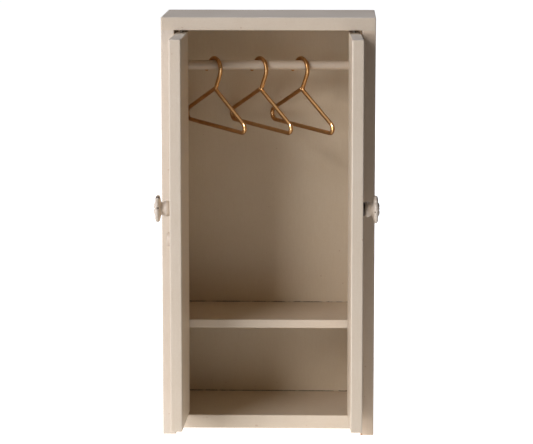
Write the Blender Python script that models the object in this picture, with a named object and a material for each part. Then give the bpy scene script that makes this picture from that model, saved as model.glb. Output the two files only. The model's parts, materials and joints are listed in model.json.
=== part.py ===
"""Miniature wardrobe: a painted cabinet with two pivoting doors, a shelf, a hanging
rail and three wire coat hangers.

Metres, +Z up. The front faces -Y, and the ground is z = 0. The doors stand open, and
the origin is under the middle of the whole piece as it stands like that.
"""

import math

import bmesh
import bpy
from mathutils import Matrix, Vector

# Cabinet, outside
WIDTH = 0.1070
HEIGHT = 0.2120
DEPTH = 0.0600

# Boards
SIDE_THICK = 0.00675
TOP_THICK = 0.0065
BASE_THICK = 0.00695
BASE_UNDERSIDE = 0.0033
SHELF_THICK = 0.0043
SHELF_TOP = 0.0582
SHELF_SETBACK = 0.0070
BACK_THICK = 0.00156
BACK_INSET = 0.0001
REBATE = 0.0032
EDGE_ROUND = 0.0006
PANEL_ROUND = 0.0002

# Doors, which turn on pins in their thickness
DOOR_THICK = 0.00575
DOOR_REACH = 0.0425
DOOR_HEEL = 0.0023
DOOR_BOTTOM = 0.01055
DOOR_TOP = 0.2039
DOOR_OPEN_DEG = {"left": 91.4, "right": 92.1}
PIVOT_FROM_SIDE = 0.00375
PIVOT_DEPTH = 0.0029
PIN_RADIUS = 0.0008
PIN_IN_DOOR = 0.0080
PIN_IN_BOARD = 0.0040

# Knobs and keyhole plate
KNOB_HEIGHT = 0.1207
KNOB_FROM_EDGE = 0.0080
KNOB_PETALS = 8
PETAL_GROOVE = 0.13
STUD_RADIUS = 0.0009
STUD_IN_DOOR = 0.0034
STUD_IN_KNOB = 0.0040
PLATE_HEIGHT = 0.1054
PLATE_LENGTH = 0.0072
PLATE_WIDTH = 0.0052
PLATE_RISE = 0.0022

# Hanging rail and hangers
RAIL_RADIUS = 0.0023
RAIL_HEIGHT = 0.1857
RAIL_DEPTH = 0.0325
RAIL_SOCKET = 0.0030
WIRE_RADIUS = 0.00105
HANGER_PLACES = {"hanger_left": -0.0282, "hanger_middle": -0.0049, "hanger_right": 0.0161}
HANGER_TURN_DEG = 55.4
HANGER_TILT_DEG = 2.8
HOOK_RADIUS = 0.0056
HOOK_SHIFT = 0.0002
NECK_LEAN_DEG = 26.0
HOOK_FLARE_DEG = 142.0
HOOK_FLARE = 0.0059
ARM_SLOPE_DEG = 27.55
ARMS_SHIFT = 0.0012
APEX_DROP = 0.0156
BAR_DROP = 0.0347
NECK_BEND = 0.0012
NEAR_CORNER = 0.0023
FAR_CORNER = 0.0032
ARM_START = -0.0007
HOOK_STEPS, CORNER_STEPS, NECK_STEPS = 14, 7, 4

# Hidden fastenings
DOWEL_RADIUS = 0.00125
DOWEL_IN_SIDE = 0.0038
DOWEL_IN_BOARD = 0.0060
DOWEL_DEPTHS = {"front": 0.0130, "rear": 0.0450}
SHELF_PIN_RADIUS = 0.0008
BRAD_RADIUS = 0.00035
BRAD_HEAD_RADIUS = 0.0008
BRAD_HEAD_THICK = 0.0003
BRAD_LENGTH = 0.0052
BRAD_HOLE_SPILL = 0.00001
BRAD_HEIGHTS = {"low": 0.0300, "mid": 0.1060, "high": 0.1820}

# Room left between pieces that meet, and how far a cutter runs past the wood
GAP = 0.0003
HOLE_ROOM = 0.00015
SPILL = 0.001

# Facets
BAR_SIDES = 16
RAIL_SIDES = 32
PIN_SIDES = 24
BRAD_SIDES = 12
PETAL_SIDES = 4
PLATE_SIDES = 24
SMOOTH_DEG = 40

# Derived
OUTER_X = WIDTH / 2
INNER_X = OUTER_X - SIDE_THICK
SIDE_TOP = HEIGHT - TOP_THICK
BASE_TOP = BASE_UNDERSIDE + BASE_THICK
PIVOT_X = INNER_X - PIVOT_FROM_SIDE
BACK_FRONT = DEPTH - BACK_INSET - BACK_THICK
OPEN = {side: math.radians(degrees) for side, degrees in DOOR_OPEN_DEG.items()}
DOOR_FRONT = max(
    DOOR_REACH * math.sin(angle) + (DOOR_THICK / 2 - EDGE_ROUND) * abs(math.cos(angle))
    for angle in OPEN.values()
)
FRONT_Y = (DOOR_FRONT - PIVOT_DEPTH - DEPTH) / 2

# Knob outline from the door outwards: (radius, height)
KNOB_PROFILE = [
    (0.0033, 0.0), (0.00365, 0.0009), (0.0037, 0.0019), (0.0035, 0.0030),
    (0.0032, 0.0039), (0.0034, 0.0045), (0.0042, 0.00495), (0.0054, 0.0051),
    (0.0063, 0.0055), (0.0066, 0.0061), (0.0063, 0.0068), (0.0055, 0.0072),
    (0.0034, 0.0072), (0.0031, 0.0078), (0.0016, 0.0080),
]
KNOB_CENTRE_HEIGHT = 0.0077
KNOB_HEAD_START = 0.0047


def clear_scene():
    for obj in list(bpy.data.objects):
        bpy.data.objects.remove(obj, do_unlink=True)


def finish(name, colour, roughness, metallic=0.0):
    """A plain Principled material."""
    material = bpy.data.materials.new(name)
    material.use_nodes = True
    shader = material.node_tree.nodes["Principled BSDF"]
    shader.inputs["Base Color"].default_value = (*colour, 1.0)
    shader.inputs["Roughness"].default_value = roughness
    shader.inputs["Metallic"].default_value = metallic
    return material


def at_depth(depth):
    """Y of a place that far behind the cabinet's front plane."""
    return FRONT_Y + depth


def add_object(name, data, material=None, location=(0, 0, 0)):
    obj = bpy.data.objects.new(name, data)
    obj.location = location
    if material:
        data.materials.append(material)
    bpy.context.collection.objects.link(obj)
    return obj


def add_mesh(name, bm, material=None, location=(0, 0, 0), smooth_deg=None):
    bmesh.ops.recalc_face_normals(bm, faces=bm.faces)
    mesh = bpy.data.meshes.new(name)
    bm.to_mesh(mesh)
    bm.free()
    if smooth_deg is not None:
        mesh.shade_smooth()
        mesh.set_sharp_from_angle(angle=math.radians(smooth_deg))
    return add_object(name, mesh, material, location)


def box_mesh(size):
    bm = bmesh.new()
    bmesh.ops.create_cube(bm, size=1.0)
    bmesh.ops.scale(bm, vec=size, verts=bm.verts)
    return bm


def round_edges(obj, width, segments=2):
    bevel = obj.modifiers.new("eased_edges", "BEVEL")
    bevel.width = width
    bevel.segments = segments
    bevel.limit_method = "ANGLE"
    bevel.angle_limit = math.radians(50)


def board(name, low, high, material, edge=EDGE_ROUND):
    """A flat board between two corners, with its edges eased."""
    size = Vector(high) - Vector(low)
    centre = (Vector(high) + Vector(low)) / 2
    obj = add_mesh(name, box_mesh(size), material, centre)
    round_edges(obj, edge)
    return obj


def cylinder(name, start, end, radius, material=None, sides=BAR_SIDES):
    """A round bar between two points."""
    start, end = Vector(start), Vector(end)
    bm = bmesh.new()
    bmesh.ops.create_cone(
        bm, cap_ends=True, segments=sides, radius1=radius, radius2=radius,
        depth=(end - start).length,
    )
    obj = add_mesh(name, bm, material, (start + end) / 2, SMOOTH_DEG)
    obj.rotation_euler = (end - start).to_track_quat("Z", "Y").to_euler()
    return obj


def turned(name, profile, sides, material=None):
    """A closed solid turned about Z from points (radius, height); it starts and ends on Z."""
    bm = bmesh.new()
    points = [bm.verts.new((radius, 0, height)) for radius, height in profile]
    edges = [bm.edges.new(pair) for pair in zip(points, points[1:])]
    bmesh.ops.spin(
        bm, geom=points + edges, cent=(0, 0, 0), axis=(0, 0, 1),
        angle=2 * math.pi, steps=sides, use_merge=True,
    )
    bmesh.ops.remove_doubles(bm, verts=bm.verts, dist=1e-6)
    return add_mesh(name, bm, material, smooth_deg=SMOOTH_DEG)


def cut(target, cutter):
    """Take the cutter's shape out of the target."""
    cutter.hide_render = True
    cutter.display_type = "WIRE"
    modifier = target.modifiers.new(cutter.name, "BOOLEAN")
    modifier.operation = "DIFFERENCE"
    modifier.object = cutter


def cut_hole(target, name, start, end, radius, sides=BAR_SIDES):
    """Bore a round hole, and return the cutter, which can be parented."""
    cutter = cylinder(f"cut_{name}", start, end, radius, sides=sides)
    cut(target, cutter)
    return cutter


def cut_box(target, name, low, high):
    size = Vector(high) - Vector(low)
    cutter = add_mesh(f"cut_{name}", box_mesh(size), location=(Vector(high) + Vector(low)) / 2)
    cut(target, cutter)


def make_boards(paint):
    """Sides, top, base, back and shelf, before any holes."""
    front, rear = at_depth(0), at_depth(DEPTH)
    lining = at_depth(BACK_FRONT)
    inside = INNER_X - GAP
    boards = {}
    for name, sign in (("left_side_panel", -1), ("right_side_panel", 1)):
        edges = sorted((sign * INNER_X, sign * OUTER_X))
        low = (edges[0], front, 0)
        high = (edges[1], rear, SIDE_TOP - GAP)
        boards[name] = board(name, low, high, paint)
        notch = sorted((sign * (INNER_X - SPILL), sign * (INNER_X + REBATE)))
        cut_box(
            boards[name], f"rebate_{name}",
            (notch[0], lining - GAP, BASE_UNDERSIDE - GAP), (notch[1], rear + SPILL, HEIGHT),
        )
    boards["top_board"] = board(
        "top_board", (-OUTER_X, front, SIDE_TOP), (OUTER_X, rear, HEIGHT), paint
    )
    cut_box(
        boards["top_board"], "rebate_top_board",
        (-INNER_X - REBATE, lining - GAP, SIDE_TOP - SPILL),
        (INNER_X + REBATE, rear + SPILL, SIDE_TOP + REBATE),
    )
    boards["bottom_board"] = board(
        "bottom_board", (-inside, front, BASE_UNDERSIDE), (inside, lining - GAP, BASE_TOP), paint
    )
    boards["shelf"] = board(
        "shelf", (-inside, at_depth(SHELF_SETBACK), SHELF_TOP - SHELF_THICK),
        (inside, lining - GAP, SHELF_TOP), paint,
    )
    back_edge = INNER_X + REBATE - GAP
    boards["back_panel"] = board(
        "back_panel", (-back_edge, lining, BASE_UNDERSIDE),
        (back_edge, lining + BACK_THICK, SIDE_TOP + REBATE - GAP), paint, PANEL_ROUND,
    )
    return boards


def make_rail(boards, paint):
    """The round rail, let into a blind hole in each side."""
    end_x = INNER_X + RAIL_SOCKET
    y = at_depth(RAIL_DEPTH)
    ends = (-end_x, y, RAIL_HEIGHT), (end_x, y, RAIL_HEIGHT)
    cylinder("hanging_rail", *ends, RAIL_RADIUS, paint, RAIL_SIDES)
    for side, sign in (("left", -1), ("right", 1)):
        cut_hole(
            boards[f"{side}_side_panel"], f"rail_socket_{side}",
            (sign * (INNER_X - SPILL), y, RAIL_HEIGHT), (sign * (end_x + GAP), y, RAIL_HEIGHT),
            RAIL_RADIUS + GAP, RAIL_SIDES,
        )


def fasten(name, start, end, radius, material, targets):
    """A hidden pin or dowel, and its blind hole in each board that it joins."""
    cylinder(name, start, end, radius, material)
    along = (Vector(end) - Vector(start)).normalized() * GAP
    ends = Vector(start) - along, Vector(end) + along
    for target in targets:
        cut_hole(target, f"{name}_{target.name}", *ends, radius + HOLE_ROOM)


def make_dowels(boards, beech, steel):
    """Dowels under the top and beside the base, and pins that carry the shelf."""
    for side, sign in (("left", -1), ("right", 1)):
        panel = boards[f"{side}_side_panel"]
        x = sign * (INNER_X + SIDE_THICK / 2)
        reach = sign * (INNER_X + DOWEL_IN_SIDE)
        for place, depth in DOWEL_DEPTHS.items():
            y = at_depth(depth)
            fasten(
                f"top_dowel_{side}_{place}", (x, y, SIDE_TOP - DOWEL_IN_BOARD),
                (x, y, SIDE_TOP + DOWEL_IN_SIDE), DOWEL_RADIUS, beech, (panel, boards["top_board"]),
            )
            z = (BASE_UNDERSIDE + BASE_TOP) / 2
            inner = sign * (INNER_X - DOWEL_IN_BOARD)
            fasten(
                f"base_dowel_{side}_{place}", (inner, y, z), (reach, y, z),
                DOWEL_RADIUS, beech, (panel, boards["bottom_board"]),
            )
            z = SHELF_TOP - SHELF_THICK / 2
            fasten(
                f"shelf_pin_{side}_{place}", (inner, y, z), (reach, y, z),
                SHELF_PIN_RADIUS, steel, (panel, boards["shelf"]),
            )


def brad_outline(room=0.0):
    """A flat-headed nail along Z with its head up, or the hole for it, as (radius, height)."""
    shaft, head = BRAD_RADIUS + room, BRAD_HEAD_RADIUS + room
    rise, tip = -BRAD_HEAD_THICK - room, -BRAD_LENGTH - room
    return [(0, tip), (shaft, tip), (shaft, rise), (head, rise), (head, 0), (0, 0)]


def make_brad(name, x, z, targets, steel):
    """A nail driven forward through the back panel, with its head level with the panel."""
    brad = turned(name, brad_outline(), BRAD_SIDES, steel)
    hole = turned(f"cut_{name}", brad_outline(HOLE_ROOM), BRAD_SIDES)
    for obj in (brad, hole):
        obj.rotation_euler = (-math.pi / 2, 0, 0)
        obj.location = (x, at_depth(DEPTH - BACK_INSET), z)
    hole.location.y += BRAD_HOLE_SPILL
    for target in targets:
        cut(target, hole)


def make_brads(boards, steel):
    panel = boards["back_panel"]
    x = INNER_X + REBATE / 2
    for side, sign in (("left", -1), ("right", 1)):
        targets = (panel, boards[f"{side}_side_panel"])
        for place, z in BRAD_HEIGHTS.items():
            make_brad(f"back_brad_{side}_{place}", sign * x, z, targets, steel)
    top_targets = (panel, boards["top_board"])
    make_brad("back_brad_top", 0, SIDE_TOP + REBATE / 2, top_targets, steel)
    base_targets = (panel, boards["bottom_board"])
    make_brad("back_brad_base", 0, (BASE_UNDERSIDE + BASE_TOP) / 2, base_targets, steel)


def petal(angle):
    """How far a petalled rim reaches at this angle, as a part of its full radius."""
    return 1 - PETAL_GROOVE * (1 - abs(math.sin(KNOB_PETALS * angle / 2))) ** 2


def make_knob(name, material):
    """A flower-headed knob on a round foot, standing along Z."""
    profile = [(0, 0)] + KNOB_PROFILE + [(0, KNOB_CENTRE_HEIGHT)]
    knob = turned(name, profile, KNOB_PETALS * PETAL_SIDES, material)
    for vertex in knob.data.vertices:
        if vertex.co.z > KNOB_HEAD_START:
            reach = petal(math.atan2(vertex.co.y, vertex.co.x))
            vertex.co.x *= reach
            vertex.co.y *= reach
    return knob


def make_plate(name, material):
    """A small domed oval keyhole plate, standing along Z with its length along Y."""
    bm = bmesh.new()
    bmesh.ops.create_uvsphere(
        bm, u_segments=PLATE_SIDES, v_segments=PLATE_SIDES // 2, radius=1.0
    )
    bmesh.ops.bisect_plane(
        bm, geom=bm.verts[:] + bm.edges[:] + bm.faces[:], plane_co=(0, 0, 0),
        plane_no=(0, 0, 1), clear_inner=True,
    )
    rim = [edge for edge in bm.edges if edge.is_boundary]
    bmesh.ops.contextual_create(bm, geom=rim)
    size = (PLATE_WIDTH / 2, PLATE_LENGTH / 2, PLATE_RISE)
    bmesh.ops.scale(bm, vec=size, verts=bm.verts)
    return add_mesh(name, bm, material, smooth_deg=SMOOTH_DEG)


def stand_on_door(obj, hinge, sign, from_hinge, height, rise=0.0):
    """Set a piece that stands along its own Z on the door's outer face."""
    obj.parent = hinge
    obj.location = (sign * from_hinge, -DOOR_THICK / 2 - rise, height)
    obj.rotation_euler = (math.pi / 2, 0, 0)


def make_pin(name, hinge, door, board_beside, low, high, steel):
    """A hinge pin, tight in the door and turning in the board above or below it."""
    pin = cylinder(name, (0, 0, low), (0, 0, high), PIN_RADIUS, steel, PIN_SIDES)
    pin.parent = hinge
    for target in (door, board_beside):
        hole = cut_hole(
            target, f"{name}_{target.name}", (0, 0, low - GAP), (0, 0, high + GAP),
            PIN_RADIUS + HOLE_ROOM, PIN_SIDES,
        )
        hole.parent = hinge


def fit_knob(side, hinge, door, inward, resin, steel):
    """The knob, and the stud that holds it to the door."""
    place = DOOR_REACH - KNOB_FROM_EDGE
    knob = make_knob(f"{side}_knob", resin)
    stand_on_door(knob, hinge, inward, place, KNOB_HEIGHT, GAP)
    stud_ends = (0, 0, -STUD_IN_DOOR), (0, 0, STUD_IN_KNOB)
    stud = cylinder(f"{side}_knob_stud", *stud_ends, STUD_RADIUS, steel)
    stud_rise = (STUD_IN_KNOB - STUD_IN_DOOR) / 2
    stand_on_door(stud, hinge, inward, place, KNOB_HEIGHT, stud_rise)
    hole_ends = (0, 0, -STUD_IN_DOOR - GAP), (0, 0, STUD_IN_KNOB + GAP)
    for target in (door, knob):
        hole = cut_hole(target, f"stud_{target.name}", *hole_ends, STUD_RADIUS + HOLE_ROOM)
        stand_on_door(hole, hinge, inward, place, KNOB_HEIGHT, stud_rise)


def make_door(side, sign, boards, paint, resin, steel):
    """A door, its knob and its pins, on an empty at the hinge. Shut, it reaches inwards."""
    place = (sign * PIVOT_X, at_depth(PIVOT_DEPTH), 0)
    hinge = add_object(f"{side}_hinge", None, location=place)
    inward = -sign
    ends = sorted((-inward * DOOR_HEEL, inward * DOOR_REACH))
    door = board(
        f"{side}_door", (ends[0], -DOOR_THICK / 2, DOOR_BOTTOM),
        (ends[1], DOOR_THICK / 2, DOOR_TOP), paint,
    )
    door.parent = hinge
    fit_knob(side, hinge, door, inward, resin, steel)
    make_pin(
        f"{side}_hinge_pin_top", hinge, door, boards["top_board"],
        DOOR_TOP - PIN_IN_DOOR, SIDE_TOP + PIN_IN_BOARD, steel,
    )
    make_pin(
        f"{side}_hinge_pin_base", hinge, door, boards["bottom_board"],
        BASE_TOP - PIN_IN_BOARD, DOOR_BOTTOM + PIN_IN_DOOR, steel,
    )
    hinge.rotation_euler.z = sign * OPEN[side]
    return hinge


def arc(centre, radius, start_deg, end_deg, steps):
    """Points along an arc, both ends included."""
    angles = (start_deg + (end_deg - start_deg) * step / steps for step in range(steps + 1))
    turns = (math.radians(angle) for angle in angles)
    return [centre + radius * Vector((math.cos(turn), math.sin(turn))) for turn in turns]


def fillet(before, corner, after, radius, steps):
    """Points of the arc that rounds a corner between two straight runs."""
    back = (before - corner).normalized()
    ahead = (after - corner).normalized()
    half = back.angle(ahead) / 2
    centre = corner + (back + ahead).normalized() * radius / math.sin(half)
    first = corner + back * radius / math.tan(half) - centre
    last = corner + ahead * radius / math.tan(half) - centre
    turn = first.angle_signed(last)
    return [centre + Matrix.Rotation(-turn * step / steps, 2) @ first for step in range(steps + 1)]


def hanger_path():
    """The wire's middle line: u across, w up, from where the hook's top rests."""
    slope = math.tan(math.radians(ARM_SLOPE_DEG))
    half_bar = (BAR_DROP - APEX_DROP) / slope
    far = Vector((ARMS_SHIFT - half_bar, -BAR_DROP))
    near = Vector((ARMS_SHIFT + half_bar, -BAR_DROP))
    start = Vector((ARMS_SHIFT + ARM_START, -APEX_DROP + slope * ARM_START))

    hook = Vector((HOOK_SHIFT, -HOOK_RADIUS))
    lean = math.radians(NECK_LEAN_DEG)
    neck_top = hook + HOOK_RADIUS * Vector((math.cos(lean), -math.sin(lean)))
    down = Vector((-math.sin(lean), -math.cos(lean)))
    across = neck_top.x - ARMS_SHIFT
    run = (neck_top.y + APEX_DROP + slope * across) / (-down.y - slope * down.x)
    apex = neck_top + down * run

    flare = math.radians(HOOK_FLARE_DEG)
    hook_arc = arc(hook, HOOK_RADIUS, -NECK_LEAN_DEG, HOOK_FLARE_DEG, HOOK_STEPS)
    tip = hook_arc[-1] + HOOK_FLARE * Vector((-math.sin(flare), math.cos(flare)))
    return (
        [start]
        + fillet(start, far, near, FAR_CORNER, CORNER_STEPS)
        + fillet(far, near, apex, NEAR_CORNER, CORNER_STEPS)
        + fillet(near, apex, neck_top, NECK_BEND, NECK_STEPS)
        + hook_arc
        + [tip]
    )


def make_hanger(name, x, brass):
    """One piece of bent wire, hooked over the rail and turned a little off square."""
    curve = bpy.data.curves.new(name, "CURVE")
    curve.dimensions = "3D"
    curve.bevel_depth = WIRE_RADIUS
    curve.bevel_resolution = 1
    curve.use_fill_caps = True
    path = hanger_path()
    spline = curve.splines.new("POLY")
    spline.points.add(len(path) - 1)
    for point, (u, w) in zip(spline.points, path):
        point.co = (u, 0, w, 1)
    top = RAIL_HEIGHT + RAIL_RADIUS + GAP + WIRE_RADIUS
    hanger = add_object(name, curve, brass, (x, at_depth(RAIL_DEPTH), top))
    hanger.rotation_euler = (0, math.radians(HANGER_TILT_DEG), -math.radians(HANGER_TURN_DEG))
    return hanger


def build():
    clear_scene()
    paint = finish("cream_paint", (0.60, 0.52, 0.43), 0.42)
    resin = finish("knob_paint", (0.62, 0.52, 0.44), 0.42)
    brass = finish("brass_wire", (0.56, 0.34, 0.14), 0.30, metallic=1.0)
    steel = finish("steel", (0.55, 0.55, 0.53), 0.35, metallic=1.0)
    beech = finish("beech", (0.62, 0.46, 0.29), 0.65)

    boards = make_boards(paint)
    make_rail(boards, paint)
    make_dowels(boards, beech, steel)
    make_brads(boards, steel)
    left_hinge = make_door("left", -1, boards, paint, resin, steel)
    make_door("right", 1, boards, paint, resin, steel)
    plate = make_plate("keyhole_plate", resin)
    stand_on_door(plate, left_hinge, 1, DOOR_REACH - KNOB_FROM_EDGE, PLATE_HEIGHT, GAP)
    for name, x in HANGER_PLACES.items():
        make_hanger(name, x, brass)


build()
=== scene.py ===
"""The looks of the miniature wardrobe: finely shaped painted boards and doors, carved knobs
and drawn-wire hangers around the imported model, each with its own procedural material.

Metres, +Z up. The front faces -Y, and the doors stand open.
"""

import json
import math

import bmesh
import bpy
import numpy as np
from mathutils import Matrix, Vector, noise


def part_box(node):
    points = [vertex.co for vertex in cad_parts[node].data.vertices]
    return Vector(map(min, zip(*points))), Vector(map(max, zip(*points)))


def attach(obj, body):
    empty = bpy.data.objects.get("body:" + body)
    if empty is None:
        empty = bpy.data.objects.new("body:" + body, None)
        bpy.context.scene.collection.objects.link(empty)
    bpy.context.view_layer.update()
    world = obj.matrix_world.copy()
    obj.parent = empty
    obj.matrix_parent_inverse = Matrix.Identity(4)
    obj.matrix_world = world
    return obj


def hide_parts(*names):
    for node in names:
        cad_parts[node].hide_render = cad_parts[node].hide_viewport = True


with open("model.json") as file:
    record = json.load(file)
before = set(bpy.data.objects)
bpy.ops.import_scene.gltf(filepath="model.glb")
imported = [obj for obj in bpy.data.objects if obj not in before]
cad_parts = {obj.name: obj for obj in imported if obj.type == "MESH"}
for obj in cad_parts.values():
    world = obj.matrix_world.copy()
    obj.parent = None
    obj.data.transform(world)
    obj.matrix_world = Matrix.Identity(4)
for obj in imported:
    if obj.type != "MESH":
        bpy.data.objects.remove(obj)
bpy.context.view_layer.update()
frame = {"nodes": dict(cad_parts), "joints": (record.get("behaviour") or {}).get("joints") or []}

MM = 0.001

# The cabinet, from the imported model
SIDE_LOW, SIDE_HIGH = (Vector(corner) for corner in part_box("right_side_panel"))
TOP_LOW, TOP_HIGH = (Vector(corner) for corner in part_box("top_board"))
BASE_LOW, BASE_HIGH = (Vector(corner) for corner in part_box("bottom_board"))
SHELF_LOW, SHELF_HIGH = (Vector(corner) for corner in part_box("shelf"))
BACK_LOW, BACK_HIGH = (Vector(corner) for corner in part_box("back_panel"))
RAIL_LOW, RAIL_HIGH = (Vector(corner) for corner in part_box("hanging_rail"))
DOOR_LOW, DOOR_HIGH = (Vector(corner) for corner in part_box("left_door"))
OUTER_X, INNER_X = SIDE_HIGH.x, SIDE_LOW.x
SEAM_Z = TOP_LOW.z

# Boards
EASE = 0.45 * MM
PANEL_EASE = 0.15 * MM
# Width of the band beside each eased edge that takes the paler worn paint and its painted highlight
EDGE_WEAR_AND_HIGHLIGHT_BAND = 0.45 * MM
GRID_PITCH = 4.0 * MM
WAVE_LONG, WAVE_SHORT = 60.0, 210.0
WAVE_LONG_SIZE, WAVE_SHORT_SIZE = 0.035 * MM, 0.012 * MM
CRACK = 0.28 * MM
SEAM_REACH = 0.38 * MM

# Doors, about the hinge, as they lie when shut
DOOR_THICK = 5.75 * MM
DOOR_REACH = 42.5 * MM
DOOR_HEEL = 2.3 * MM
DOOR_SLOPE_TOP, DOOR_SLOPE_LOW = 0.45 * MM, 0.14 * MM
PIN_HOLE_RADIUS = 0.95 * MM
KNOB_FROM_EDGE = 8.0 * MM
KNOB_HEIGHT = 120.5 * MM
PLATE_HEIGHT = 105.4 * MM

# Knob outline from the door outwards: (radius, height) in millimetres. The foot stands
# a little off the door, on a thin neck painted dark as the shadow in the gap.
KNOB_OUTLINE = [
    (0.0, 0.0), (1.0, 0.0), (1.0, 0.7), (2.6, 0.82), (3.3, 1.0), (3.75, 1.45), (3.9, 2.1),
    (3.8, 2.7), (3.45, 3.4), (3.05, 4.0), (2.95, 4.3), (3.2, 4.6), (3.9, 4.9), (4.9, 5.15),
    (5.8, 5.35), (6.5, 5.6), (6.8, 6.1), (6.78, 6.7), (6.5, 7.15), (5.7, 7.4), (4.6, 7.5),
    (3.4, 7.5), (3.15, 7.65), (3.05, 7.95), (2.6, 8.2), (1.6, 8.3), (0.7, 8.15), (0.0, 8.05),
]
PETALS = 8
PETAL_SIDES = 24
GROOVES_FROM = math.radians(6.0)
KNOB_NECK = {"left": 2.0, "right": 3.4}
KNOB_STAND = {"left": 0.5, "right": 1.3}
# Nicks in the rim, darkened as painted shade: (angle in degrees, half width in millimetres)
KNOB_NICKS = {"left": ((70.0, 1.30), (10.0, 0.38)), "right": ((114.0, 0.30), (186.0, 0.25))}

# Thickness of the paint that has gathered under the rail
RAIL_COAT = 0.12 * MM

# Keyhole plate
PLATE_HALF_WIDTH, PLATE_HALF_LENGTH, PLATE_RISE = 2.6 * MM, 3.6 * MM, 2.2 * MM

# Hangers: one bent wire each, in a plane turned about the vertical
HANGER_X = {"hanger_left": -28.2 * MM, "hanger_middle": -4.9 * MM, "hanger_right": 16.1 * MM}
HANGER_TURN, HANGER_TILT = math.radians(55.4), math.radians(2.8)
WIRE_RADIUS = 1.05 * MM
HOOK_RADIUS = 5.6 * MM
HOOK_SHIFT = 0.2 * MM
NECK_LEAN_DEG = 26.0
HOOK_FLARE_DEG = 142.0
HOOK_FLARE = 5.9 * MM
ARM_SLOPE = math.radians(27.55)
ARMS_SHIFT = 0.9 * MM
APEX_DROP = 15.6 * MM
BAR_DROP = 34.7 * MM
NECK_BEND, NEAR_CORNER, FAR_CORNER = 1.2 * MM, 2.45 * MM, 3.2 * MM

# Colours, as reflectance
CREAM = (0.665, 0.542, 0.392)
CREAM_PALE = (0.735, 0.632, 0.490)
CREAM_PINK = (0.70, 0.580, 0.445)
# Copies of the cream for the upright panels: warmer ones for the right side and the back, which stand in shade,
# as painted shade, and a cooler one for the left side
CREAM_SHADED, CREAM_SHADED_PALE = (0.665, 0.512, 0.358), (0.735, 0.600, 0.450)
CREAM_COOL, CREAM_COOL_PALE = (0.650, 0.545, 0.418), (0.720, 0.635, 0.520)
CREAM_WARM, CREAM_WARM_PALE = (0.685, 0.556, 0.374), (0.752, 0.640, 0.466)
BARE_WOOD = (0.42, 0.21, 0.09)
UPWARD_FACE_TONE = (0.36, 0.29, 0.19)
PLATE_CREAM = (0.56, 0.455, 0.345)
# Near black, for painted shade in corners, along joints and on the knobs
PAINTED_SHADE_DARK = (0.07, 0.04, 0.02)
BRASS = (0.58, 0.325, 0.130)
BRASS_DARK = (0.32, 0.14, 0.022)
STEEL = (0.20, 0.175, 0.13)
STEEL_DARK = (0.05, 0.04, 0.03)
BEECH = (0.62, 0.44, 0.26)
BEECH_DARK = (0.42, 0.26, 0.13)

# The stage: a white table that glows softly near the wardrobe, and soft lights round it
FLOOR = (0.80, 0.80, 0.80)
FLOOR_REACH = 30.0
GLOW_PLACE, GLOW_REACH, NEAR_GLOW = (0.055, -0.10, 0.0), 0.17, 0.66
GLOW_COLOUR = (0.96, 0.985, 1.04)
WORLD_LIGHT = 0.02
LIGHT_COLOUR = (0.90, 0.93, 1.05)
GLINT_COLOUR = (0.88, 1.02, 1.28)
LIGHT_DISTANCE = 2.0
# name, azimuth (0 in front, 90 to the right), elevation, width, power in watts
SOFTBOXES = [
    ("key", -35, 27, 0.70, 18.4),
    ("low_left", -50, 5, 0.50, 11.4),
    ("side_left", -78, 5, 0.60, 13.5),
    ("low_front", -28, 5, 0.35, 3.2),
    ("top_back", 180, 50, 0.80, 18.0),
]
# Lights for the hangers alone: name, place, width, power in watts
GLINTS = [
    ("glint_high", (-0.60, -1.28, 1.55), 0.50, 115.0),
    ("glint_low", (-0.08, -0.46, 0.03), 0.15, 1.3),
]


# ---------------------------------------------------------------- materials

def node(tree, kind, values=None, **settings):
    """Add a shader node. A value that is a socket is linked, any other is set."""
    made = tree.nodes.new(kind)
    for key, value in settings.items():
        setattr(made, key, value)
    for key, value in (values or {}).items():
        if isinstance(value, bpy.types.NodeSocket):
            tree.links.new(value, made.inputs[key])
        else:
            made.inputs[key].default_value = value
    return made


def stretched(tree, stretch=(1, 1, 1), source="Object"):
    """Coordinates along the piece, drawn out along some axes."""
    coordinates = node(tree, "ShaderNodeTexCoord").outputs[source]
    return node(tree, "ShaderNodeMapping", {"Vector": coordinates, "Scale": stretch}).outputs[0]


def speckle(tree, vector, scale, detail=2.0, roughness=0.55):
    values = {"Vector": vector, "Scale": scale, "Detail": detail, "Roughness": roughness}
    return node(tree, "ShaderNodeTexNoise", values).outputs["Fac"]


def ranged(tree, value, start, end, low=0.0, high=1.0):
    """Map start..end onto low..high, and clamp."""
    values = {"Value": value, "From Min": start, "From Max": end, "To Min": low, "To Max": high}
    return node(tree, "ShaderNodeMapRange", values).outputs["Result"]


def maths(tree, operation, first, second):
    return node(tree, "ShaderNodeMath", {0: first, 1: second}, operation=operation).outputs[0]


def mixed(tree, factor, first, second):
    """Mix two colours."""
    colours = [c if isinstance(c, bpy.types.NodeSocket) else (*c, 1.0) for c in (first, second)]
    values = {0: factor, 6: colours[0], 7: colours[1]}
    return node(tree, "ShaderNodeMix", values, data_type="RGBA").outputs[2]


def bumped(tree, layers):
    """One bump from (height, size in metres) layers."""
    normal = None
    for height, size in layers:
        values = {"Height": height, "Distance": size, "Strength": 1.0}
        if normal:
            values["Normal"] = normal
        normal = node(tree, "ShaderNodeBump", values).outputs["Normal"]
    return normal


def attribute(tree, name):
    return node(tree, "ShaderNodeAttribute", attribute_name=name).outputs["Fac"]


def principled(name):
    material = bpy.data.materials.new(name)
    material.use_nodes = True
    return material, material.node_tree, material.node_tree.nodes["Principled BSDF"]


def finish_shader(tree, shader, colour, roughness, normal):
    tree.links.new(colour, shader.inputs["Base Color"])
    tree.links.new(roughness, shader.inputs["Roughness"])
    tree.links.new(normal, shader.inputs["Normal"])


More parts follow.
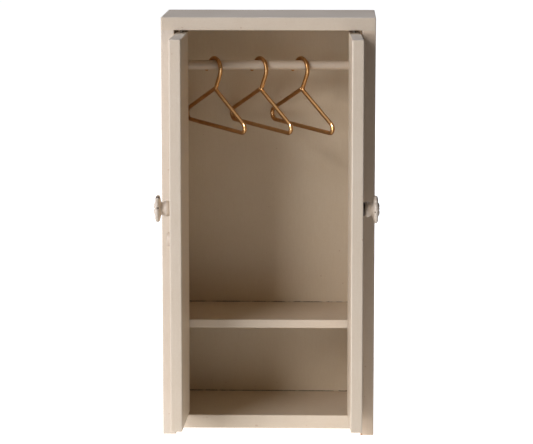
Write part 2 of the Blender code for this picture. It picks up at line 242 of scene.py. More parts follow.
def paint(name, grain, colour=CREAM, pale=CREAM_PALE, stains_and_shade=(), seams=(), top_darkening=0.0):
    """Satin paint brushed along an axis, with mottling, specks, and paler eased edges: thin, worn paint and a
    painted highlight.

    Stains are (centre, reach, colour, depth): a bare chip, or painted shade that darkens a corner. Seams are
    heights of dark, broken lines of painted shade where boards meet. Faces that look up can be darkened.
    """
    material, tree, shader = principled(name)
    across = [260.0, 260.0, 260.0]
    across[grain] = 16.0
    strokes = speckle(tree, stretched(tree, across), 9.0, 3.0)
    plain = stretched(tree)
    cloud = speckle(tree, plain, 55.0, 3.0)
    peel = speckle(tree, plain, 1150.0, 2.0, 0.5)
    specks = ranged(tree, speckle(tree, plain, 520.0, 0.0), 0.83, 0.86)
    edge_wear_and_highlight = attribute(tree, "edge_wear_and_highlight")

    lighter = ranged(tree, cloud, 0.3, 0.7, 0.0, 0.28)
    shade = mixed(tree, lighter, colour, pale)
    deeper = [value * tone for value, tone in zip(colour, (0.93, 0.90, 0.86))]
    shade = mixed(tree, ranged(tree, strokes, 0.35, 0.75, 0.0, 0.30), shade, deeper)
    shade = mixed(tree, ranged(tree, peel, 0.35, 0.75, 0.0, 0.20), shade, pale)
    # Paler along the eased edges: thin, worn paint, and a painted highlight on the rounding
    shade = mixed(tree, maths(tree, "MULTIPLY", edge_wear_and_highlight, 0.35), shade, pale)
    shade = mixed(tree, maths(tree, "MULTIPLY", specks, 0.35), shade, BARE_WOOD)
    rub = maths(tree, "MULTIPLY", ranged(tree, edge_wear_and_highlight, 0.45, 0.7), ranged(tree, strokes, 0.66, 0.72))
    shade = mixed(tree, maths(tree, "MULTIPLY", rub, 0.35), shade, BARE_WOOD)
    facing = node(
        tree, "ShaderNodeSeparateXYZ", {0: node(tree, "ShaderNodeTexCoord").outputs["Normal"]}
    ).outputs
    inward = ranged(tree, facing["Y"], 0.7, 0.3)
    # Stains: bare chips, and painted shade darkening corners where shade falls
    for centre, reach, tone, depth in stains_and_shade:
        away = node(
            tree, "ShaderNodeVectorMath", {0: plain, 1: centre}, operation="DISTANCE"
        ).outputs["Value"]
        ragged = maths(tree, "ADD", away, maths(tree, "MULTIPLY", peel, 0.9 * MM))
        stain_and_shade_mask = ranged(tree, ragged, reach, reach * 0.7, 0.0, depth)
        shade = mixed(tree, maths(tree, "MULTIPLY", stain_and_shade_mask, inward), shade, tone)
    place = node(tree, "ShaderNodeSeparateXYZ", {0: plain}).outputs["Z"]
    # Seams: broken dark lines of painted shade where the shelf and the bottom board meet the back panel
    for height in seams:
        off = maths(tree, "ABSOLUTE", maths(tree, "SUBTRACT", place, height), 0.0)
        uneven = maths(tree, "MULTIPLY", maths(tree, "SUBTRACT", strokes, 0.5), 0.5 * MM)
        line = ranged(tree, maths(tree, "ADD", off, uneven), SEAM_REACH, SEAM_REACH * 0.6)
        broken = ranged(tree, speckle(tree, plain, 130.0, 3.0), 0.38, 0.50, 0.10, 0.72)
        line = maths(tree, "MULTIPLY", line, inward)
        shade = mixed(tree, maths(tree, "MULTIPLY", line, broken), shade, PAINTED_SHADE_DARK)
    # Faces that look up are darkened
    if top_darkening:
        shade = mixed(tree, ranged(tree, facing["Z"], 0.80, 0.97, 0.0, top_darkening), shade, UPWARD_FACE_TONE)

    rough = ranged(tree, strokes, 0.3, 0.7, 0.36, 0.50)
    rough = maths(tree, "ADD", rough, ranged(tree, cloud, 0.3, 0.7, -0.04, 0.05))
    dabs = speckle(tree, stretched(tree, (1.0, 1.0, 0.6)), 720.0, 1.0)
    normal = bumped(tree, [(dabs, 0.055 * MM), (peel, 0.016 * MM), (strokes, 0.020 * MM)])
    finish_shader(tree, shader, shade, rough, normal)
    shader.inputs["Coat Weight"].default_value = 0.06
    shader.inputs["Coat Roughness"].default_value = 0.25
    return material


def knob_paint(name):
    """The same paint over a casting, with a paler mottle, and painted shade in the grooves and nicks and on the
    neck under the foot.
    """
    material, tree, shader = principled(name)
    plain = stretched(tree)
    cloud = speckle(tree, plain, 260.0, 3.0)
    peel = speckle(tree, plain, 1700.0, 2.0, 0.5)
    groove = attribute(tree, "groove")
    shade = mixed(tree, ranged(tree, cloud, 0.3, 0.7, 0.0, 0.5), CREAM_PINK, CREAM_PALE)
    shade = mixed(tree, ranged(tree, peel, 0.4, 0.8, 0.0, 0.2), shade, CREAM_PALE)
    # Painted shade, near black, in the hollows and on the neck under the foot
    shade_in_hollows = maths(tree, "ADD", groove, ranged(tree, peel, 0.3, 0.7, -0.12, 0.12))
    shade = mixed(tree, ranged(tree, shade_in_hollows, 0.40, 0.75, 0.0, 0.95), shade, PAINTED_SHADE_DARK)
    rough = ranged(tree, cloud, 0.3, 0.7, 0.34, 0.48)
    normal = bumped(tree, [(cloud, 0.04 * MM), (peel, 0.016 * MM)])
    finish_shader(tree, shader, shade, rough, normal)
    shader.inputs["Coat Weight"].default_value = 0.08
    shader.inputs["Coat Roughness"].default_value = 0.25
    return material


def brass_wire(name):
    """Satin drawn wire, with lines along it and patches that have dulled."""
    material, tree, shader = principled(name)
    along = node(tree, "ShaderNodeAttribute", attribute_name="wire").outputs["Vector"]
    drawn = speckle(tree, along, 6.0, 3.0)
    dull = speckle(tree, stretched(tree), 190.0, 4.0, 0.6)
    fine = speckle(tree, stretched(tree), 1500.0, 2.0)
    shade = mixed(tree, ranged(tree, dull, 0.42, 0.72, 0.0, 0.35), BRASS, BRASS_DARK)
    shade = mixed(tree, ranged(tree, drawn, 0.55, 0.8, 0.0, 0.3), shade, BRASS_DARK)
    satin = ranged(tree, dull, 0.3, 0.7, 0.27, 0.34)
    rough = maths(tree, "ADD", satin, ranged(tree, fine, 0.3, 0.7, 0.0, 0.06))
    normal = bumped(tree, [(drawn, 0.012 * MM), (fine, 0.004 * MM)])
    finish_shader(tree, shader, shade, rough, normal)
    shader.inputs["Metallic"].default_value = 1.0
    return material


def steel(name):
    """Plain turned steel, a little dulled."""
    material, tree, shader = principled(name)
    turned = speckle(tree, stretched(tree, (60.0, 60.0, 1800.0)), 2.0, 3.0)
    patch = speckle(tree, stretched(tree), 700.0, 3.0)
    shade = mixed(tree, ranged(tree, patch, 0.4, 0.7), STEEL, STEEL_DARK)
    rough = ranged(tree, turned, 0.3, 0.7, 0.42, 0.60)
    normal = bumped(tree, [(turned, 0.006 * MM), (patch, 0.008 * MM)])
    finish_shader(tree, shader, shade, rough, normal)
    shader.inputs["Metallic"].default_value = 1.0
    return material


def beech(name):
    """Bare turned beech, with grain and short dark flecks."""
    material, tree, shader = principled(name)
    grain = speckle(tree, stretched(tree, (30.0, 400.0, 400.0)), 6.0, 4.0)
    fleck = speckle(tree, stretched(tree, (200.0, 900.0, 900.0)), 2.0, 1.0)
    shade = mixed(tree, ranged(tree, grain, 0.3, 0.7), BEECH, BEECH_DARK)
    shade = mixed(tree, ranged(tree, fleck, 0.62, 0.7, 0.0, 0.6), shade, BEECH_DARK)
    rough = ranged(tree, grain, 0.3, 0.7, 0.55, 0.72)
    normal = bumped(tree, [(grain, 0.03 * MM), (fleck, 0.02 * MM)])
    finish_shader(tree, shader, shade, rough, normal)
    return material


# ---------------------------------------------------------------- meshes

def to_object(name, bm, material, sharp_deg=35.0, matrix=None):
    bmesh.ops.recalc_face_normals(bm, faces=bm.faces)
    mesh = bpy.data.meshes.new(name)
    bm.to_mesh(mesh)
    bm.free()
    if matrix:
        mesh.transform(matrix)
    mesh.materials.append(material)
    mesh.shade_smooth()
    mesh.set_sharp_from_angle(angle=math.radians(sharp_deg))
    obj = bpy.data.objects.new(name, mesh)
    bpy.context.collection.objects.link(obj)
    return obj


def belongs(obj, body, cad_node):
    """The piece stands in for a CAD node, which it hides, and rides on its body."""
    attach(obj, body)
    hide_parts(cad_node)
    return obj


def sides_of(edge, low, high):
    """Names of the box's faces that an edge lies on."""
    names = set()
    pairs = (("left", "right"), ("front", "rear"), ("under", "top"))
    for axis, (below, above) in enumerate(pairs):
        first, second = (vert.co[axis] for vert in edge.verts)
        if abs(first - low[axis]) < 1e-7 and abs(second - low[axis]) < 1e-7:
            names.add(below)
        if abs(first - high[axis]) < 1e-7 and abs(second - high[axis]) < 1e-7:
            names.add(above)
    return names


def box(low, high):
    bm = bmesh.new()
    bmesh.ops.create_cube(bm, size=1.0)
    for vert in bm.verts:
        vert.co = [l + (c + 0.5) * (h - l) for l, c, h in zip(low, vert.co, high)]
    return bm


def slice_at(bm, axis, place):
    normal = [0, 0, 0]
    normal[axis] = 1
    point = [0, 0, 0]
    point[axis] = place
    geometry = bm.verts[:] + bm.edges[:] + bm.faces[:]
    bmesh.ops.bisect_plane(bm, geom=geometry, plane_co=point, plane_no=normal, dist=1e-7)


def ease(bm, edges, radius):
    """Round edges, and return their first lines."""
    lines = [(edge.verts[0].co.copy(), edge.verts[1].co.copy()) for edge in edges]
    bmesh.ops.bevel(bm, geom=edges, offset=radius, segments=3, profile=0.5, affect="EDGES")
    return lines


def grid(bm, low, high, margin):
    """Cut a box's faces into small cells, with a narrow band beside each edge."""
    for axis in range(3):
        span = high[axis] - low[axis] - 2 * margin
        steps = max(1, round(span / GRID_PITCH))
        for step in range(steps + 1):
            slice_at(bm, axis, low[axis] + margin + span * step / steps)


def carve(obj, cutters):
    """Cut closed shapes out of a piece for good."""
    helpers = []
    for index, cutter in enumerate(cutters):
        mesh = bpy.data.meshes.new(f"cutter_{index}")
        bmesh.ops.recalc_face_normals(cutter, faces=cutter.faces)
        cutter.to_mesh(mesh)
        cutter.free()
        helper = bpy.data.objects.new(mesh.name, mesh)
        bpy.context.collection.objects.link(helper)
        modifier = obj.modifiers.new(mesh.name, "BOOLEAN")
        modifier.operation = "DIFFERENCE"
        modifier.object = helper
        helpers.append(helper)
    graph = bpy.context.evaluated_depsgraph_get()
    carved = bpy.data.meshes.new_from_object(obj.evaluated_get(graph))
    obj.modifiers.clear()
    obj.data = carved
    for helper in helpers:
        bpy.data.objects.remove(helper, do_unlink=True)
    carved.set_sharp_from_angle(angle=math.radians(35.0))


def round_cutter(x, y, low, high, radius):
    bm = bmesh.new()
    bmesh.ops.create_cone(
        bm, cap_ends=True, segments=32, radius1=radius, radius2=radius, depth=high - low,
        matrix=Matrix.Translation((x, y, (low + high) / 2)),
    )
    return bm


def mark_edge_wear_and_highlight(mesh, lines, reach):
    """Store how near each vertex is to an eased edge, from 1 on it down to 0, for worn edges and their painted
    highlight.
    """
    count = len(mesh.vertices)
    points = np.empty(count * 3)
    mesh.vertices.foreach_get("co", points)
    points = points.reshape(count, 3)
    edge_wear_and_highlight = np.zeros(count)
    for start, end in lines:
        start, along = np.array(start), np.array(end - start)
        share = np.clip((points - start) @ along / (along @ along), 0.0, 1.0)
        distance = np.linalg.norm(points - start - share[:, None] * along, axis=1)
        edge_wear_and_highlight = np.maximum(edge_wear_and_highlight, np.clip(1.0 - distance / reach, 0.0, 1.0))
    layer = mesh.attributes.new("edge_wear_and_highlight", "FLOAT", "POINT")
    layer.data.foreach_set("value", edge_wear_and_highlight)


def roughen(mesh):
    """Give flat faces the slight unevenness of sanded and painted wood."""
    for vert in mesh.vertices:
        shift = noise.noise_vector(vert.co * WAVE_LONG) * WAVE_LONG_SIZE
        shift += noise.noise_vector(vert.co * WAVE_SHORT) * WAVE_SHORT_SIZE
        vert.co += shift


def even_shading(obj):
    """Let the large faces rule the shading beside rounded edges."""
    weighted = obj.modifiers.new("even_shading", "WEIGHTED_NORMAL")
    weighted.keep_sharp = True


def painted_board(cad_node, low, high, material, choose, cutters=(), radius=EASE, splits=()):
    """A cabinet board with the chosen edges eased."""
    bm = box(low, high)
    for axis, place in splits:
        slice_at(bm, axis, place)
    chosen = [
        edge for edge in bm.edges
        if len(sides_of(edge, low, high)) == 2
        and choose(sides_of(edge, low, high), (edge.verts[0].co + edge.verts[1].co) / 2)
    ]
    lines = ease(bm, chosen, radius)
    grid(bm, low, high, radius + EDGE_WEAR_AND_HIGHLIGHT_BAND)
    obj = to_object(f"{cad_node}_painted", bm, material)
    if cutters:
        carve(obj, cutters)
    mark_edge_wear_and_highlight(obj.data, lines, radius + EDGE_WEAR_AND_HIGHLIGHT_BAND)
    roughen(obj.data)
    even_shading(obj)
    return belongs(obj, "cabinet", cad_node)


# ---------------------------------------------------------------- cabinet

def make_cabinet(upright, level):
    hinges = {joint["child"]: joint["pos_m"] for joint in frame["joints"] if joint["type"] == "hinge"}
    spill = 1.0 * MM
    for side, sign in (("left", -1), ("right", 1)):
        low = Vector((min(sign * INNER_X, sign * OUTER_X), SIDE_LOW.y, 0.0))
        high = Vector((max(sign * INNER_X, sign * OUTER_X), SIDE_HIGH.y, SEAM_Z))
        edge = BACK_HIGH.x + CRACK
        notch = sorted((sign * (INNER_X - spill), sign * edge))
        rebate = box((notch[0], BACK_LOW.y, BASE_LOW.z), (notch[1], SIDE_HIGH.y + spill, SEAM_Z + spill))
        painted_board(
            f"{side}_side_panel", low, high, upright[side],
            lambda names, middle: "top" not in names, [rebate],
        )
    pin_holes = [
        round_cutter(x, y, SEAM_Z - spill, SEAM_Z + 4.3 * MM, PIN_HOLE_RADIUS)
        for x, y, z in hinges.values()
    ]
    rebate = box(
        (-BACK_HIGH.x - CRACK, BACK_LOW.y, SEAM_Z - spill),
        (BACK_HIGH.x + CRACK, SIDE_HIGH.y + spill, BACK_HIGH.z + CRACK),
    )
    painted_board(
        "top_board", TOP_LOW, TOP_HIGH, level,
        lambda names, middle: "under" not in names or (names == {"front", "under"} and abs(middle.x) < INNER_X),
        pin_holes + [rebate], splits=((0, -INNER_X), (0, INNER_X)),
    )

    def lengthwise(names, middle):
        return not names & {"left", "right"}

    pin_holes = [
        round_cutter(x, y, BASE_HIGH.z - 4.3 * MM, BASE_HIGH.z + spill, PIN_HOLE_RADIUS)
        for x, y, z in hinges.values()
    ]
    for cad_node, low, high, cutters in (
        ("bottom_board", BASE_LOW, BASE_HIGH, pin_holes),
        ("shelf", SHELF_LOW, SHELF_HIGH, []),
    ):
        painted_board(
            cad_node, Vector((-INNER_X, low.y, low.z)), Vector((INNER_X, BACK_LOW.y - CRACK, high.z)),
            level, lengthwise, cutters,
        )
    painted_board(
        "back_panel", BACK_LOW, BACK_HIGH, upright["back"], lambda names, middle: True,
        radius=PANEL_EASE,
    )


def make_rail(material):
    """The round rail, with a little paint gathered where it enters the sides."""
    radius = (RAIL_HIGH.z - RAIL_LOW.z) / 2 + RAIL_COAT
    middle = Vector((0, (RAIL_LOW.y + RAIL_HIGH.y) / 2, RAIL_HIGH.z - radius))
    end, steps, sides = INNER_X + 0.3 * MM, 120, 48
    rings = []
    bm = bmesh.new()
    for step in range(steps + 1):
        x = -end * math.cos(math.pi * step / steps)
        gather = 0.35 * MM * math.exp(-(INNER_X - abs(x)) / (0.35 * MM)) if abs(x) < INNER_X else 0.35 * MM
        ring = []
        for index in range(sides):
            angle = 2 * math.pi * index / sides
            offset = Vector((0, math.cos(angle), math.sin(angle))) * (radius + gather - 0.02 * MM)
            point = middle + Vector((x, 0, 0)) + offset
            point += noise.noise_vector(point * WAVE_SHORT) * WAVE_SHORT_SIZE
            ring.append(bm.verts.new(point))
        rings.append(ring)
    for first, second in zip(rings, rings[1:]):
        for index in range(sides):
            after = (index + 1) % sides
            bm.faces.new((first[index], first[after], second[after], second[index]))
    bm.faces.new(rings[0])
    bm.faces.new(rings[-1])
    belongs(to_object("hanging_rail_painted", bm, material), "cabinet", "hanging_rail")


# ---------------------------------------------------------------- doors

def door_place(side):
    """(matrix from the shut door to how it stands, direction that the shut door reaches in)."""
    sign = -1 if side == "left" else 1
    joint = next(j for j in frame["joints"] if j["child"] == f"{side}_door")
    hinge = Vector((joint["pos_m"][0], joint["pos_m"][1], 0.0))
    swing = math.radians(-joint["range_deg"][0])
    return Matrix.Translation(hinge) @ Matrix.Rotation(sign * swing, 4, "Z"), -sign


def make_door(side, material):
    matrix, inward = door_place(side)
    ends = sorted((-inward * DOOR_HEEL, inward * DOOR_REACH))
    low = Vector((ends[0], -DOOR_THICK / 2, DOOR_LOW.z))
    high = Vector((ends[1], DOOR_THICK / 2, DOOR_HIGH.z))
    bm = box(low, high)
    lines = ease(bm, [edge for edge in bm.edges], EASE)
    grid(bm, low, high, EASE + EDGE_WEAR_AND_HIGHLIGHT_BAND)
    obj = to_object(f"{side}_door_painted", bm, material)
    carve(obj, [
        round_cutter(0, 0, DOOR_HIGH.z - 8.3 * MM, DOOR_HIGH.z + MM, PIN_HOLE_RADIUS),
        round_cutter(0, 0, DOOR_LOW.z - MM, DOOR_LOW.z + 8.3 * MM, PIN_HOLE_RADIUS),
    ])
    mark_edge_wear_and_highlight(obj.data, lines, EASE + EDGE_WEAR_AND_HIGHLIGHT_BAND)
    for vert in obj.data.vertices:
        out = min(abs(vert.co.x) / DOOR_REACH, 1.0)
        up = (vert.co.z - low.z) / (high.z - low.z)
        vert.co.z += DOOR_SLOPE_TOP * (1 - out) * up - DOOR_SLOPE_LOW * out * (1 - up)
    obj.data.transform(matrix)
    roughen(obj.data)
    even_shading(obj)
    belongs(obj, f"{side}_door", f"{side}_door")


def smooth_outline(points, between):
    """A smooth run through outline points, passing through each of them."""
    points = [Vector(point) for point in points]
    padded = [2 * points[0] - points[1], *points, 2 * points[-1] - points[-2]]
    run = []
    for before, start, end, after in zip(padded, padded[1:], padded[2:], padded[3:]):
        for step in range(between):
            t = step / between
            run.append(0.5 * (
                2 * start + (end - before) * t
                + (2 * before - 5 * start + 4 * end - after) * t ** 2
                + (3 * start - before - 3 * end + after) * t ** 3
            ))
    return run + [points[-1]]


def smooth_step(value, start, end):
    share = min(max((value - start) / (end - start), 0.0), 1.0)
    return share * share * (3 - 2 * share)


def knob_point(radius, height, angle, nicks):
    """A point of the knob in millimetres, and how dark it is painted: painted shade in the grooves and nicks
    and on the neck under the foot.
    """
    turn = ((angle - GROOVES_FROM) * PETALS / (2 * math.pi)) % 1.0
    crown = math.sin(math.pi * turn)
    off_groove = min(turn, 1 - turn) * 2 * math.pi / PETALS
    groove = math.exp(-(off_groove * max(radius, 1.2) / 0.45) ** 2)
    head = smooth_step(height, 4.9, 5.4)
    rim = head * smooth_step(radius, 3.4, 6.2)
    notch = 0.0
    for place, half_width in nicks:
        off = abs((angle - math.radians(place) + math.pi) % (2 * math.pi) - math.pi) * radius
        front = 6.2 + half_width
        behind = head * (1 - smooth_step(height, front - 0.5, front)) * smooth_step(radius, 5.0, 6.2)
        notch = max(notch, math.exp(-(off / half_width) ** 2) * behind)
    reach = radius * (1 - rim * (0.035 * groove + 0.03 * (1 - crown)) - 0.11 * notch)
    lift = 0.0
    if height > 7.25 and radius > 3.2:
        lift = rim * (0.22 * (crown - 0.6) - 0.38 * groove)
    elif height > 7.6:
        lift = -0.36 * groove - 0.10 * (1 - crown) * smooth_step(radius, 0.2, 1.2)
        reach *= 1 - 0.08 * (1 - crown) * smooth_step(radius, 1.2, 2.8)
    # Painted shade on the neck under the foot, where the gap to the door lies in shadow
    under = 1 - smooth_step(height, 0.72, 0.85)
    shade_depth = max(notch, 0.55 * groove * head * (height > 7.25), under)
    return Vector((reach * math.cos(angle), reach * math.sin(angle), height + lift)) * MM, shade_depth


def make_knob(side, material):
    """A flower-headed knob: eight petals round a small lobed boss, on a domed foot."""
    matrix, inward = door_place(side)
    outline = smooth_outline([(r, z, 0) for r, z in KNOB_OUTLINE], 4)
    sides = PETALS * PETAL_SIDES
    bm = bmesh.new()
    layer = bm.verts.layers.float.new("groove")
    rings = []
    for radius, height, _ in outline:
        ring = []
        for index in range(1 if radius < 1e-6 else sides):
            angle = 2 * math.pi * index / sides
            if 0.0 < radius < KNOB_NECK[side] and height < 0.8:
                radius = KNOB_NECK[side]
            point, shade_depth = knob_point(max(radius, 0.0), height, angle, KNOB_NICKS[side])
            if height < 1.4:
                point.z *= KNOB_STAND[side]
            vert = bm.verts.new(point)
            vert[layer] = shade_depth
            ring.append(vert)
        rings.append(ring)
    for first, second in zip(rings, rings[1:]):
        for index in range(sides):
            after = (index + 1) % sides
            corners = [first[index % len(first)], first[after % len(first)],
                       second[after % len(second)], second[index % len(second)]]
            bm.faces.new(dict.fromkeys(corners))
    place = Vector((inward * (DOOR_REACH - KNOB_FROM_EDGE), -DOOR_THICK / 2, KNOB_HEIGHT))
    matrix = matrix @ Matrix.Translation(place) @ Matrix.Rotation(math.pi / 2, 4, "X")
    obj = to_object(f"{side}_knob_cast", bm, material, 60.0, matrix)
    belongs(obj, f"{side}_door", f"{side}_knob")


def make_plate(material):
    """A small domed oval plate with a sunk keyhole."""
    matrix, inward = door_place("left")
    bm = bmesh.new()
    layer = bm.verts.layers.float.new("groove")
    rings, sides = 26, 96
    grid_rings = []
    for ring_index in range(rings + 1):
        share = ring_index / rings
        ring = []
        for index in range(1 if ring_index == rings else sides):
            angle = 2 * math.pi * index / sides
            wide = math.cos(share * math.pi / 2) ** 0.55
            u = PLATE_HALF_WIDTH * wide * math.cos(angle)
            v = PLATE_HALF_LENGTH * wide * math.sin(angle)
            rise = PLATE_RISE * math.sin(share * math.pi / 2) ** 0.6
            bow = math.hypot(u, v - 0.5 * MM) / (0.62 * MM)
            slot = max(abs(u) / (0.34 * MM), abs(v + 0.5 * MM) / (1.1 * MM))
            sunk = 1 - smooth_step(min(bow, slot), 0.8, 1.15)
            vert = bm.verts.new((u, v, rise - 0.9 * MM * sunk))
            vert[layer] = sunk
            ring.append(vert)
        grid_rings.append(ring)
    for first, second in zip(grid_rings, grid_rings[1:]):
        for index in range(sides):
            after = (index + 1) % sides
            corners = [first[index], first[after], second[after % len(second)], second[index % len(second)]]
            bm.faces.new(dict.fromkeys(corners))
    bm.faces.new(grid_rings[0])
    place = Vector((inward * (DOOR_REACH - KNOB_FROM_EDGE), -DOOR_THICK / 2, PLATE_HEIGHT))
    matrix = matrix @ Matrix.Translation(place) @ Matrix.Rotation(math.pi / 2, 4, "X")
    obj = to_object("keyhole_plate_cast", bm, material, 60.0, matrix)
    belongs(obj, "left_door", "keyhole_plate")


# ---------------------------------------------------------------- hangers

def arc(centre, radius, start_deg, end_deg, steps):
    """Points along an arc, both ends included."""
    angles = (math.radians(start_deg + (end_deg - start_deg) * s / steps) for s in range(steps + 1))
    return [centre + radius * Vector((math.cos(angle), math.sin(angle))) for angle in angles]


def fillet(before, corner, after, radius, steps):
    """Points of the arc that rounds a corner between two straight runs."""
    back = (before - corner).normalized()
    ahead = (after - corner).normalized()
    half = back.angle(ahead) / 2
    centre = corner + (back + ahead).normalized() * radius / math.sin(half)
    first = corner + back * radius / math.tan(half) - centre
    last = corner + ahead * radius / math.tan(half) - centre
    turn = first.angle_signed(last)
    return [centre + Matrix.Rotation(-turn * step / steps, 2) @ first for step in range(steps + 1)]


def hanger_path():
    """The wire's middle line: u across, w up, from where the hook's top rests."""
    slope = math.tan(ARM_SLOPE)
    half_bar = (BAR_DROP - APEX_DROP) / slope
    far = Vector((ARMS_SHIFT - half_bar, -BAR_DROP))
    near = Vector((ARMS_SHIFT + half_bar, -BAR_DROP))
    hook = Vector((HOOK_SHIFT, -HOOK_RADIUS))
    lean = math.radians(NECK_LEAN_DEG)
    neck_top = hook + HOOK_RADIUS * Vector((math.cos(lean), -math.sin(lean)))
    down = Vector((-math.sin(lean), -math.cos(lean)))
    across = neck_top.x - ARMS_SHIFT
    run = (neck_top.y + APEX_DROP + slope * across) / (-down.y - slope * down.x)
    apex = neck_top + down * run
    start = Vector((ARMS_SHIFT, -APEX_DROP))
    flare = math.radians(HOOK_FLARE_DEG)
    hook_arc = arc(hook, HOOK_RADIUS, -NECK_LEAN_DEG, HOOK_FLARE_DEG, 48)
    tip = hook_arc[-1] + HOOK_FLARE * Vector((-math.sin(flare), math.cos(flare)))
    corners = (
        [start] + fillet(start, far, near, FAR_CORNER, 20) + fillet(far, near, apex, NEAR_CORNER, 20)
        + fillet(near, apex, neck_top, NECK_BEND, 14) + hook_arc + [tip]
    )
    return spaced(corners, 0.7 * MM)


def spaced(points, pitch):
    """The same line with points added along its long runs."""
    run = [points[0]]
    for start, end in zip(points, points[1:]):
        steps = max(1, round((end - start).length / pitch))
        run += [start.lerp(end, step / steps) for step in range(1, steps + 1)]
    return run


def wire_rings(path):
    """(point, direction, radius) along the wire, with rounded ends."""
    directions = []
    for index in range(len(path)):
        before, after = path[max(index - 1, 0)], path[min(index + 1, len(path) - 1)]
        directions.append((after - before).normalized())
    rings = [(point, direction, WIRE_RADIUS) for point, direction in zip(path, directions)]
    for end, way, place in ((0, -1, 0), (-1, 1, len(path))):
        cap = []
        for angle in (30, 60, 85):
            ahead = 0.3 * MM * math.sin(math.radians(angle))
            radius = WIRE_RADIUS - 0.3 * MM * (1 - math.cos(math.radians(angle)))
            cap.append((path[end] + way * directions[end] * ahead, directions[end], radius))
        if end == 0:
            rings = cap[::-1] + rings
        else:
            rings = rings + cap
    return rings


def make_hanger(name, x, material):
    """One piece of round wire bent into a hook, two arms and a bar."""
    bm = bmesh.new()
    coordinates = bm.verts.layers.float_vector.new("wire")
    sides, length, rings, previous = 24, 0.0, [], None
    for point, direction, radius in wire_rings(hanger_path()):
        length += (point - previous).length if previous else 0.0
        previous = point
        across = Vector((direction.y, -direction.x))
        ring = []
        for index in range(sides):
            angle = 2 * math.pi * index / sides
            u, w = point + across * radius * math.cos(angle)
            vert = bm.verts.new((u, radius * math.sin(angle), w))
            vert[coordinates] = (math.cos(angle), math.sin(angle), length * 45.0)
            ring.append(vert)
        rings.append(ring)
    for first, second in zip(rings, rings[1:]):
        for index in range(sides):
            after = (index + 1) % sides
            bm.faces.new((first[index], first[after], second[after], second[index]))
    bm.faces.new(rings[0])
    bm.faces.new(rings[-1])
    rest = Vector((x, (RAIL_LOW.y + RAIL_HIGH.y) / 2, RAIL_HIGH.z + WIRE_RADIUS + 0.02 * MM))
    matrix = (
        Matrix.Translation(rest) @ Matrix.Rotation(-HANGER_TURN, 4, "Z")
        @ Matrix.Rotation(HANGER_TILT, 4, "Y")
    )
    obj = to_object(f"{name}_wire", bm, material, 50.0, matrix)
    return belongs(obj, name, name)


# ---------------------------------------------------------------- kept CAD nodes

def dress_small_parts(metal, wood):
    """Pins, studs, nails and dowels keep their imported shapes."""
    for name, obj in frame["nodes"].items():
        if "dowel" in name:
            finish = wood
        elif any(word in name for word in ("pin", "stud", "brad")):
            finish = metal
        else:
            continue
        obj.data.materials.clear()
        obj.data.materials.append(finish)


# ---------------------------------------------------------------- stage, light and camera

def make_floor():
    """A plain white table, lit through, so that shadows on it stay faint."""
    bm = bmesh.new()
    bmesh.ops.create_grid(bm, x_segments=2, y_segments=2, size=FLOOR_REACH)
    material = bpy.data.materials.new("white_floor")
    material.use_nodes = True
    tree = material.node_tree
    tree.nodes.remove(tree.nodes["Principled BSDF"])
    seen = node(tree, "ShaderNodeLightPath").outputs["Is Camera Ray"]
    place = node(tree, "ShaderNodeTexCoord").outputs["Object"]
    away = node(
        tree, "ShaderNodeVectorMath", {0: place, 1: GLOW_PLACE}, operation="DISTANCE"
    ).outputs["Value"]
    near = ranged(tree, away, GLOW_REACH, GLOW_REACH * 0.8, 0.0, NEAR_GLOW)
    strength = node(tree, "ShaderNodeMix", {0: seen, 2: near, 3: 1.0}).outputs[0]
    tone = mixed(tree, seen, GLOW_COLOUR, (1.0, 1.0, 1.0))
    matt = node(tree, "ShaderNodeBsdfDiffuse", {"Color": (*FLOOR, 1.0)}).outputs[0]
    glow = node(tree, "ShaderNodeEmission", {"Color": tone, "Strength": strength}).outputs[0]
    both = node(tree, "ShaderNodeAddShader", {0: matt, 1: glow}).outputs[0]
    tree.links.new(both, tree.nodes["Material Output"].inputs["Surface"])
    floor = to_object("floor", bm, material)
    floor.location.z = -0.05 * MM


def make_world():
    """White where it is seen, and almost dark as a light."""
    world = bpy.data.worlds.new("studio")
    bpy.context.scene.world = world
    world.use_nodes = True
    tree = world.node_tree
    seen = node(tree, "ShaderNodeLightPath").outputs["Is Camera Ray"]
    strength = ranged(tree, seen, 0.0, 1.0, WORLD_LIGHT, 1.0)
    background = tree.nodes["Background"]
    background.inputs["Color"].default_value = (1.0, 1.0, 1.0, 1.0)
    tree.links.new(strength, background.inputs["Strength"])


def square_light(name, place, target, width, watts):
    data = bpy.data.lights.new(name, "AREA")
    data.shape = "SQUARE"
    data.size = width
    data.energy = watts
    data.color = LIGHT_COLOUR
    light = bpy.data.objects.new(name, data)
    light.location = place
    light.rotation_euler = (target - place).to_track_quat("-Z", "Y").to_euler()
    light.visible_camera = False
    bpy.context.collection.objects.link(light)
    return light


def make_lights(hangers):
    """Soft lights aimed at the wardrobe's middle, and glints that only the hangers catch."""
    middle = Vector((0, 0, TOP_HIGH.z / 2))
    for name, azimuth, elevation, width, watts in SOFTBOXES:
        turn, rise = math.radians(azimuth), math.radians(elevation)
        flat = Vector((math.sin(turn), -math.cos(turn), 0)) * math.cos(rise)
        away = flat + Vector((0, 0, math.sin(rise)))
        square_light(name, middle + away * LIGHT_DISTANCE, middle, width, watts)
    caught_by = bpy.data.collections.new("hangers")
    for hanger in hangers:
        caught_by.objects.link(hanger)
    for name, place, width, watts in GLINTS:
        light = square_light(name, Vector(place), Vector((0, 0, RAIL_LOW.z)), width, watts)
        light.data.color = GLINT_COLOUR
        light.light_linking.receiver_collection = caught_by


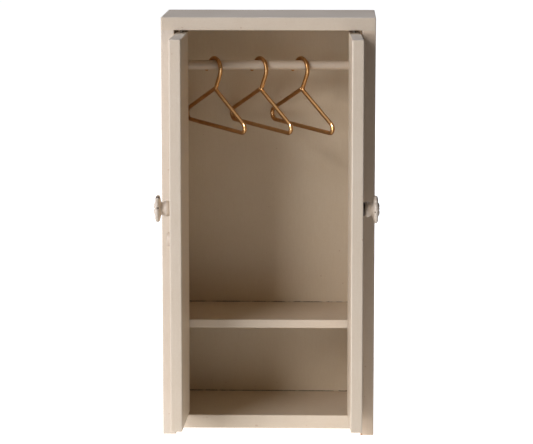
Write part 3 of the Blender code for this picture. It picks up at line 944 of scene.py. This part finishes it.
def make_camera():
    """A long lens, a little right of the middle and above, looking slightly down."""
    data = bpy.data.cameras.new("camera")
    data.sensor_width = 36.0
    data.lens = 170.52
    data.clip_end = 100.0
    camera = bpy.data.objects.new("camera", data)
    camera.location = (36.39 * MM, SIDE_LOW.y - 1253.41 * MM, 296.09 * MM)
    camera.rotation_euler = (math.radians(90.0 - 8.47), 0.0, math.radians(1.70))
    bpy.context.collection.objects.link(camera)
    bpy.context.scene.camera = camera


def main():
    make_camera()
    make_floor()
    make_world()
    bpy.context.scene.view_settings.view_transform = "Standard"
    bpy.context.scene.view_settings.gamma = 0.94

    foot_chip = (Vector((INNER_X + 0.5 * MM, SIDE_LOW.y, 0.3 * MM)), 1.3 * MM, BARE_WOOD, 1.0)
    # Painted shade: dark patches high on the sides' inner faces in the front corners, over the doors
    corner = {
        side: [
            (Vector((sign * INNER_X, y * MM, SEAM_Z - MM)), 6.3 * MM, PAINTED_SHADE_DARK, 1.0)
            for y in (-1.0, 5.0, 11.0, 17.0)
        ]
        for side, sign in (("left", -1), ("right", 1))
    }
    # Painted shade: dark patches in the back panel's far top corners
    far_corners = [
        (Vector((x * MM, BACK_LOW.y, SEAM_Z - 4.2 * MM)), 3.6 * MM, PAINTED_SHADE_DARK, 0.8)
        for x in (-46.2, 43.0)
    ]
    # Each upright takes its own copy of the cream; those of the right side and the back are painted shade
    upright = {
        "left": paint(
            "upright_paint_left", 2, CREAM_COOL, CREAM_COOL_PALE, stains_and_shade=corner["left"]
        ),
        "right": paint(
            "upright_paint_right", 2, CREAM_SHADED, CREAM_SHADED_PALE,
            stains_and_shade=[*corner["right"], foot_chip],
        ),
        "back": paint(
            "back_panel_paint", 2, CREAM_WARM, CREAM_WARM_PALE,
            stains_and_shade=far_corners, seams=(SHELF_HIGH.z, BASE_HIGH.z),
        ),
    }
    level = paint("level_paint", 0)
    make_cabinet(upright, level)
    make_rail(level)
    cast = knob_paint("knob_paint_over_casting")
    for side in ("left", "right"):
        make_door(side, paint(f"{side}_door_paint", 2, top_darkening=0.55))
        make_knob(side, cast)
    make_plate(paint("plate_paint", 2, PLATE_CREAM, CREAM))
    wire = brass_wire("satin_brass_wire")
    make_lights([make_hanger(name, x, wire) for name, x in HANGER_X.items()])
    dress_small_parts(steel("dulled_steel"), beech("bare_beech"))


main()
